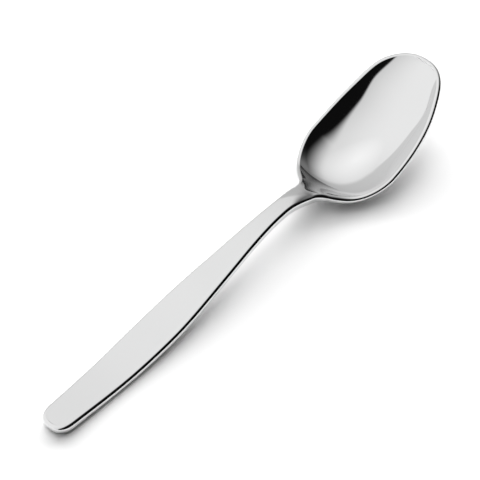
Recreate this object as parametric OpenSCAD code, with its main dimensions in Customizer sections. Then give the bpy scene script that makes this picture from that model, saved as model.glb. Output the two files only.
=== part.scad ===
// Tablespoon pressed and forged from one steel blank, in three named regions.
// The handle, the neck and the bowl are lofted through cross sections that stand
// square to the length of the spoon. Lengths are in millimetres.

/* [Handle plan] */
// From the handle end to the narrowest place of the neck
handle_length = 123.7; // [120:0.1:127]
// Width of the handle behind its rounded end
end_width = 12.9; // [12:0.1:14]
// Length of the rounded end in plan
end_round = 7.1; // [6:0.1:8]
// Squareness of the rounded end, where two is an ellipse
end_power = 2.5; // [2:0.1:3]
// Greatest width of the handle
widest_width = 16.6; // [15:0.1:18]
// From the handle end to the widest place
widest_at = 53; // [45:1:60]
// Width at the narrowest place of the neck
neck_width = 8.1; // [7:0.1:9.4]

/* [Bowl plan] */
// From the narrowest place to the heel of the bowl
neck_length = 10.5; // [9.5:0.1:12.5]
// Width of the stem where it runs into the heel
heel_width = 9.7; // [8.5:0.1:11]
// From the heel of the bowl to its tip
bowl_length = 67.8; // [64:0.1:72]
// Greatest width of the bowl
bowl_width = 42.8; // [39:0.2:46]
// From the heel to the widest place
bowl_widest_at = 24.7; // [22:0.1:28]
// Fullness of the heel in plan, where two is an ellipse
heel_power = 1.75; // [1.6:0.05:2.2]
// Fullness of the tip in plan, where two is an ellipse
tip_power = 2.3; // [2:0.05:2.5]
// Width of the small flats at the two very ends
end_flat = 1; // [0.6:0.1:1.4]

/* [Side profile] */
// Height of the top edge at the handle end
end_height = 3.9; // [3.6:0.05:4.2]
// Height of the top edge over the flat of the handle
flat_height = 2.85; // [2.6:0.05:3.1]
// From the handle end to the middle of the flat
flat_at = 28; // [22:1:34]
// Height of the top edge where the handle has begun to lift
lift_height = 4.5; // [4:0.1:5.2]
// From the handle end to that place
lift_at = 54; // [48:1:60]
// Height of the top edge on the rise
rise_height = 8.5; // [7.8:0.1:9.4]
// From the handle end to the place on the rise
rise_at = 83; // [78:1:89]
// Height of the crest of the neck
crest_height = 12.45; // [11.6:0.05:13.4]
// From the handle end to the crest
crest_at = 116.5; // [112:0.1:119]
// Height of the brow, where the neck begins to fall
brow_height = 12.4; // [11.5:0.05:13.3]
// From the handle end to the brow
brow_at = 126; // [124:0.1:128]
// Height of the top edge at the heel of the bowl
heel_height = 7.7; // [7:0.1:8.6]
// Height of the rim at its lowest place behind the heel
rim_low_height = 4.8; // [4.4:0.1:5.6]
// From the heel to that place
rim_low_at = 8.5; // [7:0.5:11]
// Height of the rim at the widest place
rim_wide_height = 7.8; // [7:0.1:8.8]
// Height of the rim before the shoulder
rim_front_height = 15.8; // [14.6:0.1:17]
// From the tip back to that place
rim_front_back = 20; // [17:0.5:24]
// Height of the rim at the shoulder
shoulder_height = 21.2; // [20.2:0.1:22]
// From the tip back to the shoulder
shoulder_back = 10.5; // [8:0.5:13]
// Height of the rim at the tip
tip_height = 23; // [22.3:0.1:24]
// Run over which each curve is faired, to both sides
fair_run = 6; // [3:0.5:8]

/* [Thickness] */
// Thickness at the handle end
end_thickness = 3.55; // [3.2:0.05:3.9]
// Thickness where the handle lifts
lift_thickness = 3; // [2.6:0.05:3.4]
// Thickness at the narrowest place of the neck
neck_thickness = 3.6; // [3.2:0.05:4]
// Thickness on the centre line at the heel
heel_thickness = 4; // [3.6:0.05:4.4]
// Height of the outer edge at the heel
heel_edge = 3.9; // [3.5:0.05:4.3]
// Thickness of the bowl wall on the centre line
wall_thickness = 1.3; // [1:0.05:1.8]
// From the lowest place of the rim to where the wall has thinned
wall_run = 6; // [4:0.5:9]
// Height of the rounded rim
rim_thickness = 2.2; // [1.8:0.05:2.6]
// Rounding of the long edges of the handle and neck
edge_round = 1.15; // [0.8:0.05:1.3]
// Rounding of the rim of the bowl
rim_round = 1.05; // [0.7:0.05:1.2]

/* [Bowl hollow] */
// Depth of the hollow below the rim on the centre line
bowl_depth = 7.3; // [6.4:0.1:7.9]
// From the heel to the deepest place
deepest_at = 39.5; // [35:0.1:44]
// From the heel back to where the hollow begins on the neck
hollow_start = 2.5; // [1:0.5:4]
// How steadily the hollow starts from the neck
hollow_ease = 1.4; // [1.2:0.05:1.6]
// Fullness of the hollow across the bowl
hollow_fullness = 0.15; // [0:0.01:0.4]

/* [Regions] */
// From the crest back to where the neck begins
neck_from_crest = 22; // [16:1:28]
// From the heel back to where the bowl begins
bowl_from_heel = 4.5; // [3:0.5:6]

/* [Detail] */
// Cross sections round the handle end
end_steps = 12; // [8:1:14]
// Cross sections along the rest of the handle
handle_steps = 24; // [18:2:30]
// Cross sections along the neck
neck_steps = 20; // [14:2:26]
// Cross sections from the heel to the widest place of the bowl
heel_steps = 32; // [24:2:36]
// Cross sections from the widest place to the tip
tip_steps = 34; // [28:2:40]

/* [Hidden] */
heel_x = handle_length + neck_length;
tip_x = heel_x + bowl_length;
wide_x = heel_x + bowl_widest_at;
deep_x = heel_x + deepest_at;
hollow_x = heel_x - hollow_start;
low_x = heel_x + rim_low_at;
neck_x = crest_at - neck_from_crest;
bowl_x = heel_x - bowl_from_heel;
half_length = tip_x / 2;
// Share of the hollow's length at which it is deepest, and how steeply it ends at the tip
deep_share = (deep_x - hollow_x) / (tip_x - hollow_x);
tip_ease = hollow_ease * (1 - deep_share) / deep_share;
// Steepness of the hollow at the rim, for a depth of one over a half width of one
rim_rate = 2 * (1 - hollow_fullness) + 4 * hollow_fullness;
// Strips across the top, steps round an edge and samples to each side in a faired curve
across = 16;
corner_steps = 4;
fair_samples = 3;
// Most of an edge's height, and of a half width, that a rounding may take
edge_limit = 0.45;
side_limit = 0.5;
// Share of a full rounding that the two very ends have
end_share = 0.9;
// Run over which a slope in plan is measured
slope_run = 0.05;
steel = [0.74, 0.75, 0.76];

// Heights of the top edge from the handle end to the tip
heights = [
    [0, end_height],
    [flat_at, flat_height],
    [lift_at, lift_height],
    [rise_at, rise_height],
    [crest_at, crest_height],
    [brow_at, brow_height],
    [heel_x, heel_height],
    [low_x, rim_low_height],
    [wide_x, rim_wide_height],
    [tip_x - rim_front_back, rim_front_height],
    [tip_x - shoulder_back, shoulder_height],
    [tip_x, tip_height]
];

// Half widths of the stem, which fades out inside the bowl
stem_halves = [
    [0, end_width / 2],
    [widest_at, widest_width / 2],
    [handle_length, neck_width / 2],
    [heel_x, heel_width / 2],
    [wide_x, 0],
    [tip_x, 0]
];

// Heights of the outer edge
edge_walls = [
    [0, end_thickness],
    [flat_at, flat_height],
    [lift_at, lift_thickness],
    [rise_at, lift_thickness],
    [handle_length, neck_thickness],
    [heel_x, heel_edge],
    [low_x, rim_thickness],
    [tip_x, rim_thickness]
];

// Thicknesses on the centre line
middles = [
    [0, end_thickness],
    [flat_at, flat_height],
    [lift_at, lift_thickness],
    [rise_at, lift_thickness],
    [handle_length, neck_thickness],
    [heel_x, heel_thickness],
    [low_x + wall_run, wall_thickness],
    [tip_x, wall_thickness]
];

// Radii of the rounded edges
roundings = [
    [0, edge_round],
    [heel_x, edge_round],
    [wide_x, rim_round],
    [tip_x, rim_round]
];

function span(list, x, i = 0) =
    i >= len(list) - 2 || x < list[i + 1][0] ? i : span(list, x, i + 1);

function rate(list, i) =
    (list[i + 1][1] - list[i][1]) / (list[i + 1][0] - list[i][0]);

// Slope at a point of a list: none at a peak or a hollow, and a mean elsewhere
function slope(list, i) =
    i == 0 ? rate(list, 0)
    : i == len(list) - 1 ? rate(list, i - 1)
    : rate(list, i - 1) * rate(list, i) <= 0 ? 0
    : 2 * rate(list, i - 1) * rate(list, i) / (rate(list, i - 1) + rate(list, i));

// Smooth curve through the points of a list, which runs straight on past its ends
function smooth(list, x) =
    let (
        i = span(list, x),
        run = list[i + 1][0] - list[i][0],
        past = x - min(list[len(list) - 1][0], max(list[0][0], x)),
        t = (x - past - list[i][0]) / run,
        t2 = t * t,
        t3 = t2 * t
    )
    (2 * t3 - 3 * t2 + 1) * list[i][1]
    + (t3 - 2 * t2 + t) * run * slope(list, i)
    + (3 * t2 - 2 * t3) * list[i + 1][1]
    + (t3 - t2) * run * slope(list, i + 1)
    + past * slope(list, past < 0 ? 0 : len(list) - 1);

function total(values, i = 0) = i == len(values) ? 0 : values[i] + total(values, i + 1);

// The same curve as a mean over a short run, so that its bends change gently
function faired(list, x) =
    total([for (k = [-fair_samples : fair_samples]) smooth(list, x + fair_run * k / fair_samples)])
    / (2 * fair_samples + 1);

// Height of a quarter of a rounded oblong, at a share of its length from its middle
function oblong(share, power) = share >= 1 ? 0 : (1 - max(0, share) ^ power) ^ (1 / power);

// Half width of the egg-shaped bowl, which is fuller at its tip than at its heel
function egg_half(x) =
    bowl_width / 2
    * (x < wide_x ? oblong((wide_x - x) / bowl_widest_at, heel_power)
        : oblong((x - wide_x) / (tip_x - wide_x), tip_power));

// Half width of the stem, with the rounded end of the handle
function stem_half(x) = max(0, faired(stem_halves, x)) * oblong(1 - x / end_round, end_power);

// Half width of the spoon: the stem and the egg run into each other in a small fillet
function half_width(x) = max(end_flat / 2, (stem_half(x) ^ 4 + egg_half(x) ^ 4) ^ 0.25);

function plan_slope(x) = (half_width(x + slope_run) - half_width(x - slope_run)) / (2 * slope_run);

// Depth of the hollow on the centre line
function hollow(x) =
    let (share = (x - hollow_x) / (tip_x - hollow_x))
    share <= 0 || share >= 1 ? 0
    : bowl_depth * (share / deep_share) ^ hollow_ease * ((1 - share) / (1 - deep_share)) ^ tip_ease;

// Rise across the hollow, from none on the centre line to one at the rim
function across_rise(v) = (1 - hollow_fullness) * v ^ 2 + hollow_fullness * v ^ 4;

// Drop of the top, and rise of the underside, where an end is rounded
function end_drop(x) =
    let (
        gap = min(x, tip_x - x),
        r = x < half_length ? edge_round : rim_round
    )
    gap >= r ? 0 : end_share * (r - sqrt(r ^ 2 - (r - gap) ^ 2));

// Height of the underside on the centre line
function belly(x) = faired(heights, x) - hollow(x) - faired(middles, x);

// Lowest point of the whole spoon, which is brought to the ground
ground = min([for (x = [0 : tip_x / 200 : tip_x]) belly(x)]);

// One closed cross section, drawn over the top, down one edge, back underneath and up.
// The rounded edge leans in, to run smoothly into the hollow and into the underside.
function section(x) =
    let (
        w = half_width(x),
        drop = end_drop(x),
        crown = faired(heights, x) - drop,
        wall = faired(edge_walls, x) - 2 * drop,
        foot = crown - wall,
        r = min(faired(roundings, x), wall * edge_limit),
        s = min(r * sqrt(1 + plan_slope(x) ^ 2), w * side_limit),
        lean = atan(hollow(x) * rim_rate / (w - s)),
        inner = [w - s * (1 + sin(lean)), crown - r * (1 - cos(lean))],
        outer = [w - s * (1 - sin(lean)), foot + r * (1 - cos(lean))],
        depth = inner[1] - crown + hollow(x),
        sag = outer[1] - belly(x) - drop,
        strips = [for (k = [0 : across]) 2 * k / across - 1],
        steps = [for (k = [0 : corner_steps]) k / corner_steps],
        down = [for (t = steps)
            let (a = -lean + (90 + lean) * t) [w - s + s * sin(a), crown - r + r * cos(a)]],
        turn = [for (t = steps)
            let (a = 90 + (90 - lean) * t) [w - s + s * sin(a), foot + r + r * cos(a)]],
        over = [for (v = strips) [v * inner[0], inner[1] - depth * (1 - across_rise(v))]],
        back = [for (v = strips) [-v * outer[0], outer[1] - sag * (1 - across_rise(v))]],
        right = concat([for (k = [1 : corner_steps]) down[k]], [for (k = [0 : corner_steps - 1]) turn[k]]),
        left = [for (k = [len(right) - 1 : -1 : 0]) [-right[k][0], right[k][1]]]
    )
    [for (p = concat(over, right, back, left)) [x - half_length, p[0], p[1] - ground]];

// Faces that close one end: strips between top and underside, and a fan at each edge
function cap_faces(first, count) =
    let (
        back = across + 2 * corner_steps + 1,
        strips = [for (k = [0 : across - 1])
            let (a = k, b = k + 1, c = back + across - k - 1, d = back + across - k)
            each [[a, b, c], [a, c, d]]],
        right_edge = [for (k = [across : back]) k],
        left_edge = concat([0], [for (k = [back + across : count - 1]) k]),
        right_fan = [for (k = [1 : len(right_edge) - 2]) [right_edge[0], right_edge[k], right_edge[k + 1]]],
        left_fan = [for (k = [1 : len(left_edge) - 2]) [left_edge[0], left_edge[k], left_edge[k + 1]]]
    )
    [for (f = concat(strips, right_fan, left_fan)) [first + f[0], first + f[1], first + f[2]]];

function turned(faces) = [for (f = faces) [f[0], f[2], f[1]]];

// Solid through the cross sections at the places of a list
module loft(places) {
    rings = [for (x = places) section(x)];
    count = len(rings[0]);
    last = len(rings) - 1;
    points = [for (ring = rings) each ring];
    sides = [for (i = [0 : last - 1]) for (j = [0 : count - 1])
        let (a = i * count + j, b = i * count + (j + 1) % count)
        each [[a, b, b + count], [a, b + count, a + count]]];
    caps = concat(turned(cap_faces(0, count)), cap_faces(last * count, count));
    polyhedron(points, concat(caps, sides), convexity = 6);
}

// Places from one end to the other, without the first
function even(a, b, n) = [for (k = [1 : n]) a + (b - a) * k / n];

// Places that crowd together towards the first end, with the first
function crowded_start(a, b, n) = [for (k = [0 : n]) a + (b - a) * (1 - cos(90 * k / n))];

// Places that crowd together towards the last end, without the first
function crowded_finish(a, b, n) = [for (k = [1 : n]) a + (b - a) * sin(90 * k / n)];

module handle() {
    color(steel)
        loft(concat(crowded_start(0, end_round, end_steps), even(end_round, neck_x, handle_steps)));
}

module neck() {
    color(steel)
        loft(concat([neck_x], even(neck_x, bowl_x, neck_steps)));
}

module bowl() {
    color(steel)
        loft(concat([bowl_x], even(bowl_x, wide_x, heel_steps), crowded_finish(wide_x, tip_x, tip_steps)));
}

bowl();
neck();
handle();
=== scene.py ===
from math import atan, cos, degrees, exp, hypot, pi, radians, sin

import bpy
from mathutils import Matrix, Vector


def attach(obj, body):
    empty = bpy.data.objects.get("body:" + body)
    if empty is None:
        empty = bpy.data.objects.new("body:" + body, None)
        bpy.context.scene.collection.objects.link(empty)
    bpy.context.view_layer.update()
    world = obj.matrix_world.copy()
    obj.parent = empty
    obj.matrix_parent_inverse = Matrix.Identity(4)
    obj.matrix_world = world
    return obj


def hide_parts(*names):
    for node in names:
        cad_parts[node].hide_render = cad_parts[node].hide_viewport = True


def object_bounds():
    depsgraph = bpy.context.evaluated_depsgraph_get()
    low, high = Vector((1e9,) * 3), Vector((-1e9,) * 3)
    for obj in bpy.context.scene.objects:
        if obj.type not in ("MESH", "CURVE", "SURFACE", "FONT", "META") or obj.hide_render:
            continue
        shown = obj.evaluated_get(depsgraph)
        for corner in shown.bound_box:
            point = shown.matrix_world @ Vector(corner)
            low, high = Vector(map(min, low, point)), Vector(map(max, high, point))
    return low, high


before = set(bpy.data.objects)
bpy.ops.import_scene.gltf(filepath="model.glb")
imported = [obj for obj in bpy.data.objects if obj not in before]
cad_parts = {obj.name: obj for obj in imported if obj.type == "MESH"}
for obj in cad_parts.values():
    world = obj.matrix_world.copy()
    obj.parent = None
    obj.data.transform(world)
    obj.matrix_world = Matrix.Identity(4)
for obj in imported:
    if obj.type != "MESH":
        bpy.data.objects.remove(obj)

cad_low, cad_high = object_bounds()

# Sizes of the spoon, in millimetres, measured along it from the handle end
MM = 0.001
TIP = (cad_high.x - cad_low.x) / MM
BOWL_WIDTH = (cad_high.y - cad_low.y) / MM
HEEL = TIP - 67.8
NARROWEST = HEEL - 10.5
WIDEST_OF_BOWL = HEEL + 24.7
WIDEST_OF_HANDLE = 53.0
END_ROUND = 7.1
END_WIDTH = 12.9
HANDLE_WIDTH = 16.6
NECK_WIDTH = 7.6
HEEL_WIDTH = 11.1
HEEL_FILLET = 2.2
FILLET_REACH = 8.0
# Fullness of the round ends in plan, where two is an ellipse
END_POWER = 2.5
HEEL_POWER = 1.75
TIP_POWER = 2.3
# How sharply stem and bowl join in plan, before the fillet
JOIN_POWER = 4
# Places and heights of the side profile
END_HEIGHT = 3.9
FLAT_AT = 28.0
FLAT_HEIGHT = 2.85
LIFT_AT = 54.0
LIFT_HEIGHT = 4.5
RISE_AT = 83.0
RISE_HEIGHT = 8.55
CREST_AT = 116.0
CREST_HEIGHT = 12.2
BROW_AT = 121.5
BROW_HEIGHT = 12.1
FALL_AT = 130.7
FALL_HEIGHT = 9.75
HEEL_HEIGHT = 8.35
RIM_LOW_AT = HEEL + 8.3
RIM_LOW_HEIGHT = 4.95
RIM_WIDE_HEIGHT = 7.8
RIM_FRONT_AT = TIP - 20.0
RIM_FRONT_HEIGHT = 15.8
SHOULDER_AT = TIP - 10.5
SHOULDER_HEIGHT = 21.2
TIP_HEIGHT = 23.0
# Thickness of the steel
END_THICKNESS = 3.55
LIFT_THICKNESS = 3.0
NECK_THICKNESS = 3.6
HEEL_THICKNESS = 4.0
HEEL_EDGE = 3.9
WALL_THICKNESS = 1.3
WALL_THIN_AT = RIM_LOW_AT + 6.0
RIM_THICKNESS = 2.2
# Rounding of the edges
EDGE_ROUND = 1.38
HEEL_ROUND = 1.22
HEEL_ROUND_AT = HEEL + 6.0
RIM_ROUND = 1.07
# The hollow of the bowl
BOWL_DEPTH = 7.3
DEEPEST_AT = HEEL + 39.5
HOLLOW_START = HEEL - 3.2
HOLLOW_EASE = 1.47
HOLLOW_FULLNESS = 0.15
# The rounded brow of the neck, raised along its middle
BROW_SWELL = 0.58
SWELL_AT = HEEL - 1.0
SWELL_RUN = 9.5
SWELL_POWER = 4

# Runs over which the curves are faired, in millimetres, and samples to each side
FAIR_RUN = 6.0
FAIR_RUN_OF_TOP = 4.0
FAIR_SAMPLES = 6
# Mesh detail: distances in millimetres, shares of a step, and counts of points
LONGEST_STEP = 0.8
SHORTEST_STEP = 0.3
TURN_REACH = 8.0
STEP_CUT = 0.8
LAST_STEP = 1.2
POINTS_ACROSS = 40
EDGE_POINTS = 9
LEAST_HALF = 1.0
SLOPE_RUN = 0.002
SEWN = 0.003


def faired(line, x, run):
    """A line's average over a run to both sides of a place."""
    samples = range(-FAIR_SAMPLES, FAIR_SAMPLES + 1)
    return sum(line(x + run * k / FAIR_SAMPLES) for k in samples) / len(samples)


class Curve:
    """A faired curve through a few places along the spoon, straight past its ends."""

    def __init__(self, *places, run=FAIR_RUN):
        self.run = run
        self.x = [place[0] for place in places]
        self.y = [place[1] for place in places]
        last = len(places) - 1
        rates = [(self.y[i + 1] - self.y[i]) / (self.x[i + 1] - self.x[i]) for i in range(last)]
        self.slopes = [rates[0]]
        for before, after in zip(rates, rates[1:]):
            flat = before * after <= 0
            self.slopes.append(0.0 if flat else 2 * before * after / (before + after))
        self.slopes.append(rates[-1])

    def smooth(self, x):
        """The curve before it is faired, a cubic between two places."""
        inside = min(self.x[-1], max(self.x[0], x))
        i = 0
        while i < len(self.x) - 2 and inside >= self.x[i + 1]:
            i += 1
        run = self.x[i + 1] - self.x[i]
        t = (inside - self.x[i]) / run
        value = (2 * t**3 - 3 * t**2 + 1) * self.y[i] + (3 * t**2 - 2 * t**3) * self.y[i + 1]
        value += run * ((t**3 - 2 * t**2 + t) * self.slopes[i] + (t**3 - t**2) * self.slopes[i + 1])
        return value + (x - inside) * (self.slopes[0] if x < inside else self.slopes[-1])

    def __call__(self, x):
        return faired(self.smooth, x, self.run)


# Height of the edge, from the handle end over the neck and along the rim
top_line = Curve(
    (0, END_HEIGHT),
    (FLAT_AT, FLAT_HEIGHT),
    (LIFT_AT, LIFT_HEIGHT),
    (RISE_AT, RISE_HEIGHT),
    (CREST_AT, CREST_HEIGHT),
    (BROW_AT, BROW_HEIGHT),
    (FALL_AT, FALL_HEIGHT),
    (HEEL, HEEL_HEIGHT),
    (RIM_LOW_AT, RIM_LOW_HEIGHT),
    (WIDEST_OF_BOWL, RIM_WIDE_HEIGHT),
    (RIM_FRONT_AT, RIM_FRONT_HEIGHT),
    (SHOULDER_AT, SHOULDER_HEIGHT),
    (TIP, TIP_HEIGHT),
    run=FAIR_RUN_OF_TOP,
)
# Half the width of handle and neck, which fades out inside the bowl
stem_half = Curve(
    (0, END_WIDTH / 2),
    (WIDEST_OF_HANDLE, HANDLE_WIDTH / 2),
    (NARROWEST, NECK_WIDTH / 2),
    (HEEL, HEEL_WIDTH / 2),
    (WIDEST_OF_BOWL, 0),
    (TIP, 0),
)
# Thickness of handle and neck. Where the handle lies flat, it is the height.
stem_wall = (
    (0, END_THICKNESS),
    (FLAT_AT, FLAT_HEIGHT),
    (LIFT_AT, LIFT_THICKNESS),
    (RISE_AT, LIFT_THICKNESS),
    (NARROWEST, NECK_THICKNESS),
)
# Thickness at the edge, and on the centre line
edge_wall = Curve(
    *stem_wall,
    (HEEL, HEEL_EDGE),
    (RIM_LOW_AT, RIM_THICKNESS),
    (TIP, RIM_THICKNESS),
)
centre_wall = Curve(
    *stem_wall,
    (HEEL, HEEL_THICKNESS),
    (WALL_THIN_AT, WALL_THICKNESS),
    (TIP, WALL_THICKNESS),
)
# Radius of the rounded edge
rounding = Curve(
    (0, EDGE_ROUND),
    (NARROWEST, EDGE_ROUND),
    (HEEL_ROUND_AT, HEEL_ROUND),
    (WIDEST_OF_BOWL, RIM_ROUND),
    (TIP, RIM_ROUND),
)


def oblong(share, power):
    """Height of a quarter of a rounded oblong, at a share of its length from its middle."""
    return 0.0 if share >= 1 else (1 - max(0.0, share) ** power) ** (1 / power)


def sharp_half_width(x):
    """Half the plan width: the stem with its round end, and the egg of the bowl."""
    stem = max(0.0, stem_half(x)) * oblong(1 - x / END_ROUND, END_POWER)
    egg = oblong((WIDEST_OF_BOWL - x) / (WIDEST_OF_BOWL - HEEL), HEEL_POWER)
    if x > WIDEST_OF_BOWL:
        egg = oblong((x - WIDEST_OF_BOWL) / (TIP - WIDEST_OF_BOWL), TIP_POWER)
    return (stem**JOIN_POWER + (BOWL_WIDTH / 2 * egg) ** JOIN_POWER) ** (1 / JOIN_POWER)


def half_width(x):
    """Half the plan width, with a fillet where the stem runs into the heel of the bowl."""
    near_heel = max(0.0, 1 - (abs(x - HEEL) / FILLET_REACH) ** 2)
    run = HEEL_FILLET * near_heel**2
    return sharp_half_width(x) if run == 0 else faired(sharp_half_width, x, run)


def hollow(x):
    """Depth of the bowl on the centre line."""
    share = (x - HOLLOW_START) / (TIP - HOLLOW_START)
    if share <= 0 or share >= 1:
        return 0.0
    deepest = (DEEPEST_AT - HOLLOW_START) / (TIP - HOLLOW_START)
    tip_ease = HOLLOW_EASE * (1 - deepest) / deepest
    return BOWL_DEPTH * (share / deepest) ** HOLLOW_EASE * ((1 - share) / (1 - deepest)) ** tip_ease


def centre_line(x):
    """Height of the top on the centre line."""
    swell = BROW_SWELL * exp(-(((x - SWELL_AT) / SWELL_RUN) ** SWELL_POWER))
    return top_line(x) + swell - hollow(x)


def cross_rise(v):
    """Share of the depth that the hollow has risen, at a share v of the way to its edge."""
    return (1 - HOLLOW_FULLNESS) * v**2 + HOLLOW_FULLNESS * v**4


def slope(line, x):
    """How steeply a line rises along the spoon."""
    low = max(0.0, x - SLOPE_RUN)
    high = min(TIP, x + SLOPE_RUN)
    return (line(high) - line(low)) / (high - low)


def ring(x):
    """Points round the spoon at one place of its outline, from the left edge over the top.

    The edge is rounded square to the outline in plan, and it leans in to meet the hollow.
    """
    half = half_width(x)
    outward = Vector((-slope(half_width, x), 1.0)).normalized()
    if x in (0.0, TIP):
        outward = Vector((-1.0 if x == 0.0 else 1.0, 0.0))
    crown = top_line(x)
    radius = rounding(x)
    foot = crown - max(edge_wall(x), 2 * radius)
    # The slope of cross_rise where the hollow meets its edge
    steep = 2 * (1 - HOLLOW_FULLNESS) + 4 * HOLLOW_FULLNESS
    inward = steep * (crown - centre_line(x)) / max(LEAST_HALF, half - radius)
    lean = atan(inward * outward.y + slope(centre_line, x) * outward.x)

    def at(inset, v, z):
        """A point at an inset from the outline, at a share v of the way to the left edge."""
        return (x - inset * outward.x, v * max(0.0, half - inset * outward.y), z)

    # Where the rounding ends on the top and on the underside, and the depth from there
    inner = radius * (1 + sin(lean))
    lip = crown - radius * (1 - cos(lean))
    depth = lip - centre_line(at(inner, 0, 0)[0])
    outer = radius * (1 - sin(lean))
    sole = foot + radius * (1 - cos(lean))
    under_x = at(outer, 0, 0)[0]
    sag = sole - (centre_line(under_x) - centre_wall(under_x))
    # The points, over the top, down the right edge, back underneath and up the left edge
    spread = [sin(pi / 2 * (1 - 2 * k / POINTS_ACROSS)) for k in range(POINTS_ACROSS + 1)]
    steps = [k / EDGE_POINTS for k in range(EDGE_POINTS + 1)]
    over = [at(inner, v, lip - depth * (1 - cross_rise(v))) for v in spread]
    down = [-lean + (pi / 2 + lean) * t for t in steps[1:]]
    turn = [pi / 2 + (pi / 2 - lean) * t for t in steps[:-1]]
    right = [at(radius * (1 - sin(a)), -1, crown - radius * (1 - cos(a))) for a in down]
    right += [at(radius * (1 - sin(a)), -1, foot + radius * (1 + cos(a))) for a in turn]
    under = [at(outer, -v, sole - sag * (1 - cross_rise(v))) for v in spread]
    left = [(px, -py, pz) for px, py, pz in reversed(right)]
    return over + right + under + left


def stations():
    """Places along the outline, close together where it turns."""
    places = [0.0]
    while places[-1] < TIP:
        x = places[-1]
        turning = min(1.0, min(x, TIP - x, abs(x - HEEL)) / TURN_REACH)
        limit = SHORTEST_STEP + (LONGEST_STEP - SHORTEST_STEP) * turning
        step = limit
        while hypot(step, half_width(min(TIP, x + step)) - half_width(x)) > limit:
            step *= STEP_CUT
        places.append(TIP if x + LAST_STEP * step > TIP else x + step)
    return places


def only(piece):
    """Makes a piece the only one that is selected, and active."""
    bpy.ops.object.select_all(action="DESELECT")
    piece.select_set(True)
    bpy.context.view_layer.objects.active = piece


def forge_spoon():
    """A sheet rolled round the spoon from end to end and sewn together where its edges meet."""
    rings = [ring(x) for x in stations()]
    around = len(rings[0])
    last = len(rings) - 1
    ground = min(z for points in rings for x, y, z in points)
    bpy.ops.object.select_all(action="DESELECT")
    bpy.ops.mesh.primitive_grid_add(x_subdivisions=last, y_subdivisions=around, size=2)
    spoon = bpy.context.active_object
    spoon.name = "tablespoon"
    for point in spoon.data.vertices:
        i = round((point.co.x + 1) / 2 * last)
        j = round((point.co.y + 1) / 2 * around) % around
        x, y, z = rings[i][j]
        point.co = Vector((cad_low.x / MM + x, y, z - ground)) * MM
    only(spoon)
    bpy.ops.object.mode_set(mode="EDIT")
    bpy.ops.mesh.select_all(action="SELECT")
    bpy.ops.mesh.remove_doubles(threshold=SEWN * MM)
    bpy.ops.mesh.select_all(action="SELECT")
    bpy.ops.mesh.normals_make_consistent(inside=False)
    bpy.ops.object.mode_set(mode="OBJECT")
    bpy.ops.object.shade_smooth()
    return spoon


class Wire:
    """A shader socket that takes part in Python expressions. Each operator adds its Math node."""

    def __init__(self, board, socket):
        self.board = board
        self.socket = socket

    def __add__(self, other):
        return self.board.maths("ADD", self, other)

    def __radd__(self, other):
        return self.board.maths("ADD", other, self)

    def __sub__(self, other):
        return self.board.maths("SUBTRACT", self, other)

    def __rsub__(self, other):
        return self.board.maths("SUBTRACT", other, self)

    def __mul__(self, other):
        return self.board.maths("MULTIPLY", self, other)

    def __rmul__(self, other):
        return self.board.maths("MULTIPLY", other, self)

    def __truediv__(self, other):
        return self.board.maths("DIVIDE", self, other)

    def __pow__(self, other):
        return self.board.maths("POWER", self, other)


class Board:
    """The node tree of one material or of the world."""

    def __init__(self, owner):
        owner.use_nodes = True
        self.tree = owner.node_tree
        self.tree.nodes.clear()

    def node(self, kind, settings=None, *values, output=0, **named):
        """Adds a node: its settings first, then its sockets by order or by name."""
        made = self.tree.nodes.new(kind)
        for key, value in (settings or {}).items():
            setattr(made, key, value)
        for key, value in [*enumerate(values), *named.items()]:
            if isinstance(key, str):
                key = key.replace("_", " ")
            if isinstance(value, Wire):
                self.tree.links.new(value.socket, made.inputs[key])
            elif value is not None:
                made.inputs[key].default_value = value
        return Wire(self, made.outputs[output]) if made.outputs else None

    def maths(self, operation, *values):
        """One operation on numbers or wires."""
        return self.node("ShaderNodeMath", {"operation": operation}, *values)

    def split(self, vector):
        """The three parts of a vector."""
        parts = self.node("ShaderNodeSeparateXYZ", None, vector).socket.node
        return [Wire(self, socket) for socket in parts.outputs]

    def step(self, value, low, high):
        """Nought below low, one above high and a soft ramp between them."""
        settings = {"interpolation_type": "SMOOTHSTEP"}
        return self.node("ShaderNodeMapRange", settings, value, low, high, 0.0, 1.0)

    def blend(self, share, first, second):
        """A colour between two others. The sockets between are for numbers and vectors."""
        settings = {"data_type": "RGBA"}
        between = [None] * 5
        return self.node("ShaderNodeMix", settings, share, *between, first, second, output=2)


# Finish of the steel: noise scales per metre, shares of roughness, a depth in metres and greys
BUFFING_SCALE = (60.0, 900.0, 900.0)
BUFFING_DETAIL = 3.0
BUFFING_BREAKUP = 0.6
BUFFING_ROUGHNESS = 0.012
BUFFING_STRENGTH = 0.03
BUFFING_DEPTH = 0.00002
HAZE_SCALE = 45.0
HAZE_DETAIL = 2.0
HAZE_ROUGHNESS = 0.02
POLISH_ROUGHNESS = 0.03
STEEL_GREY = (0.746, 0.747, 0.748, 1.0)
STEEL_PALE = (0.76, 0.761, 0.762, 1.0)


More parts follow.
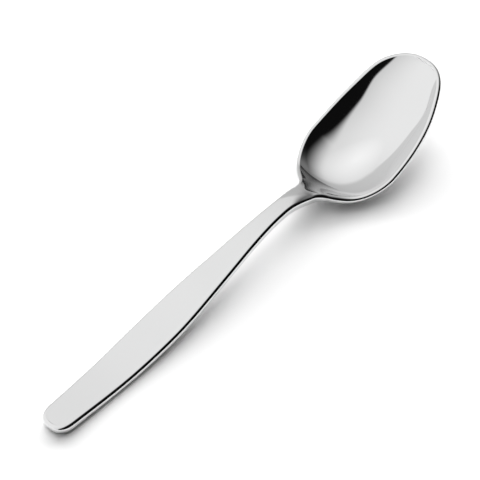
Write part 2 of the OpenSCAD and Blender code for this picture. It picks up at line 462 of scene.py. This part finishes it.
def polished_steel():
    """Mirror-polished stainless steel with the faint lengthwise haze of a buffing wheel."""
    steel = bpy.data.materials.new("polished_steel")
    board = Board(steel)
    place = board.node("ShaderNodeTexCoord", output="Object")
    drawn = board.node("ShaderNodeMapping", None, place, Scale=BUFFING_SCALE)
    lines = board.node(
        "ShaderNodeTexNoise", None, drawn, Scale=1.0, Detail=BUFFING_DETAIL, Roughness=BUFFING_BREAKUP
    )
    haze = board.node("ShaderNodeTexNoise", None, place, Scale=HAZE_SCALE, Detail=HAZE_DETAIL)
    bump = board.node(
        "ShaderNodeBump", None, Strength=BUFFING_STRENGTH, Distance=BUFFING_DEPTH, Height=lines
    )
    shader = board.node(
        "ShaderNodeBsdfPrincipled",
        None,
        Base_Color=board.blend(haze, STEEL_GREY, STEEL_PALE),
        Metallic=1.0,
        Roughness=POLISH_ROUGHNESS + HAZE_ROUGHNESS * haze + BUFFING_ROUGHNESS * lines,
        Normal=bump,
    )
    board.node("ShaderNodeOutputMaterial", None, shader)
    return steel


# The floor: its size and the reach of its white and of its painted shade in metres, its grain per metre
FLOOR_SIZE = 8.0
WHITE_REACH = 0.2
SHADE_FULL_FROM = 0.6
FLOOR_WHITE = (0.9, 0.9, 0.9, 1.0)
# Painted shade: the grey that the floor turns far from the spoon
FLOOR_SHADE_GREY = (0.45, 0.45, 0.45, 1.0)
FLOOR_ROUGHNESS = 0.75
FLOOR_SHEEN = 0.1
GRAIN_SCALE = 30.0
GRAIN_DETAIL = 2.0
GRAIN_ROUGHNESS = 0.1


def pale_floor():
    """A plain matt floor, white round the spoon and greyed far away with painted shade."""
    floor_paint = bpy.data.materials.new("pale_floor")
    board = Board(floor_paint)
    place = board.node("ShaderNodeTexCoord", output="Object")
    grain = board.node("ShaderNodeTexNoise", None, place, Scale=GRAIN_SCALE, Detail=GRAIN_DETAIL)
    x, y, _ = board.split(place)
    # Painted shade: the floor darkens with distance from the spoon
    painted_far_shade = board.step((x * x + y * y) ** 0.5, WHITE_REACH, SHADE_FULL_FROM)
    shader = board.node(
        "ShaderNodeBsdfPrincipled",
        None,
        Base_Color=board.blend(painted_far_shade, FLOOR_WHITE, FLOOR_SHADE_GREY),
        Roughness=FLOOR_ROUGHNESS + GRAIN_ROUGHNESS * grain,
        Specular_IOR_Level=FLOOR_SHEEN,
    )
    board.node("ShaderNodeOutputMaterial", None, shader)
    bpy.ops.object.select_all(action="DESELECT")
    bpy.ops.mesh.primitive_plane_add(size=FLOOR_SIZE, location=(0, 0, 0))
    floor = bpy.context.active_object
    floor.name = "floor"
    floor.data.materials.append(floor_paint)


# Greatest cosine that a tilt is worked out from, just short of straight up
NEARLY_UP = 0.99999
# The tent of the studio: its brightness, and angles in degrees from straight up
WHITE = (1.0, 1.0, 1.0, 1.0)
BEND_AT = -13.8
BEND_RUN = 14.4
DARK_TO = -28.8
DARK_SLANT = 0.371
CLOTH_FROM = -25.8
CLOTH_SLANT = 0.952
CLOTH_LIGHT = 1.05
FRONT_AT = 41.7
FRONT_FADE = 0.0000607
TIP_FADE = 0.415
TIP_FADE_ANGLES = (-9.7, 99.3)
SKIRT_AZIMUTH = 51.0
SKIRT_AT = 57.5
SKIRT_SHADE = 0.247
SKIRT_BLUR = 1.5
SKIRT_BLUR_FROM = 15.0
SKIRT_BLUR_GROWTH = 0.1
FAR_LIGHT = 0.3
FAR_ALONG = (25.0, 65.0)
FAR_ACROSS = (-25.0, 5.0)
DARK_LIGHT = 0.005
FLOOR_LIGHT = 3.3
FLOOR_LIGHT_ANGLES = (-45.0, 35.0)


def studio():
    """A white tent, open and dark on the camera's side, with a darker skirt far behind the spoon.

    A direction is given by two angles from straight up, in degrees: along the spoon and across it.
    """
    world = bpy.data.worlds.new("studio")
    bpy.context.scene.world = world
    board = Board(world)
    x, y, z = board.split(board.node("ShaderNodeTexCoord", output="Generated"))
    tilt = board.maths("ARCCOSINE", board.maths("MINIMUM", z, NEARLY_UP)) * degrees(1)
    reach = tilt / (x * x + y * y) ** 0.5
    along = x * reach
    across = y * reach
    # The open side: its edge is crisp towards the handle, and bends away and softens towards the tip
    turn = along - BEND_AT
    bend = (turn + (turn * turn + BEND_RUN**2) ** 0.5) * 0.5
    cloth = board.step(across, DARK_TO + DARK_SLANT * bend, CLOTH_FROM + CLOTH_SLANT * bend)
    # The cloth itself, a little dimmer towards the open side and beyond the tip
    front = board.maths("MAXIMUM", FRONT_AT - across, 0.0)
    level = CLOTH_LIGHT - FRONT_FADE * front * front - TIP_FADE * board.step(along, *TIP_FADE_ANGLES)
    # The darker skirt, whose edge softens beyond the tip
    blur = SKIRT_BLUR + SKIRT_BLUR_GROWTH * board.maths("MAXIMUM", along - SKIRT_BLUR_FROM, 0.0)
    hem = along * cos(radians(SKIRT_AZIMUTH)) + across * sin(radians(SKIRT_AZIMUTH))
    skirt = 1 - SKIRT_SHADE * board.step(hem, SKIRT_AT - blur, SKIRT_AT + blur)
    # The grey far end of the open side, low beyond the tip
    far = FAR_LIGHT * board.step(along, *FAR_ALONG) * board.step(across, *FAR_ACROSS)
    light = level * board.maths("MAXIMUM", cloth, far) * skirt + DARK_LIGHT
    # What reaches the floor comes mostly from above and beyond the tip
    on_floor = board.node("ShaderNodeLightPath", output="Is Diffuse Ray")
    light = light * (1 + on_floor * (FLOOR_LIGHT * board.step(along, *FLOOR_LIGHT_ANGLES) - 1))
    shader = board.node("ShaderNodeBackground", None, WHITE, light)
    board.node("ShaderNodeOutputWorld", None, shader)


# The studio's two lamps, in metres, degrees and watts
KEY_AZIMUTH = 38.0
KEY_DISTANCE = 1.5
KEY_WIDTH = 4.4
KEY_HEIGHT = 1.2
KEY_LIFT = 0.01
KEY_POWER = 85.0
GLOW_TARGET = (0.0575, 0.0, 0.002)
GLOW_AZIMUTH = 57.6
GLOW_ELEVATION = 54.1
GLOW_DISTANCE = 0.05
GLOW_SIZE = 0.03
GLOW_SPREAD = 48.0
GLOW_POWER = 0.00003


def towards(azimuth, elevation):
    """A direction in the studio, from its angles in degrees."""
    flat = cos(radians(elevation))
    return Vector((flat * cos(radians(azimuth)), flat * sin(radians(azimuth)), sin(radians(elevation))))


def hang_lamp(name, shape, power, place, way):
    """A lamp with a flat face, which shines from its place back along a direction."""
    face = bpy.data.lights.new(name, "AREA")
    face.shape = shape
    face.energy = power
    lamp = bpy.data.objects.new(name, face)
    bpy.context.scene.collection.objects.link(lamp)
    lamp.location = place
    lamp.rotation_mode = "QUATERNION"
    lamp.rotation_quaternion = way.to_track_quat("Z", "Y")
    lamp.visible_camera = False
    return lamp


def key_light():
    """A low wide panel beyond the tip, like a window, which lights the floor and throws the shadow."""
    way = towards(KEY_AZIMUTH, 0.0)
    place = way * KEY_DISTANCE + Vector((0, 0, KEY_HEIGHT / 2 + KEY_LIFT))
    key = hang_lamp("key", "RECTANGLE", KEY_POWER, place, way)
    key.data.size = KEY_WIDTH
    key.data.size_y = KEY_HEIGHT
    key.visible_glossy = False


def bowl_lamp():
    """A small gridded lamp close over the bowl, seen only as the soft glow in its hollow."""
    way = towards(GLOW_AZIMUTH, GLOW_ELEVATION)
    place = Vector(GLOW_TARGET) + way * GLOW_DISTANCE
    glow = hang_lamp("bowl_lamp", "DISK", GLOW_POWER, place, way)
    glow.data.size = GLOW_SIZE
    glow.data.spread = radians(GLOW_SPREAD)
    glow.visible_diffuse = False


# The camera, as found from the outline of the spoon in the photograph: degrees, metres and pixels
CAMERA_ELEVATION = 50.162
CAMERA_TURN = 37.501
CAMERA_ROLL = 10.612
CAMERA_DISTANCE = 0.8682
CLIP_START = 0.01
PIXELS_PER_METRE = 2710.3
ORIGIN_PIXEL = (248.57, 257.53)
PICTURE = 480
# Width of its sensor, in millimetres
SENSOR = 36.0


def photo_camera():
    """The photograph's camera, which looks at the middle of the spoon and is shifted in its picture."""
    turn = radians(CAMERA_TURN)
    lift = radians(CAMERA_ELEVATION)
    roll = radians(CAMERA_ROLL)
    right = Vector((cos(turn), -sin(turn), 0))
    up = Vector((sin(turn) * sin(lift), cos(turn) * sin(lift), cos(lift)))
    back = -Vector((sin(turn) * cos(lift), cos(turn) * cos(lift), -sin(lift)))
    picture_right = cos(roll) * right - sin(roll) * up
    picture_up = sin(roll) * right + cos(roll) * up
    data = bpy.data.cameras.new("camera")
    data.sensor_width = SENSOR
    data.lens = SENSOR * PIXELS_PER_METRE * CAMERA_DISTANCE / PICTURE
    data.shift_x = (PICTURE / 2 - ORIGIN_PIXEL[0]) / PICTURE
    data.shift_y = (ORIGIN_PIXEL[1] - PICTURE / 2) / PICTURE
    data.clip_start = CLIP_START
    camera = bpy.data.objects.new("camera", data)
    bpy.context.scene.collection.objects.link(camera)
    pose = Matrix((picture_right, picture_up, back)).transposed().to_4x4()
    pose.translation = back * CAMERA_DISTANCE
    camera.matrix_world = pose
    bpy.context.scene.camera = camera


spoon = forge_spoon()
spoon.data.materials.append(polished_steel())
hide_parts("bowl", "neck", "handle")
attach(spoon, "root")
pale_floor()
studio()
key_light()
bowl_lamp()
photo_camera()
bpy.context.scene.view_settings.view_transform = "Standard"
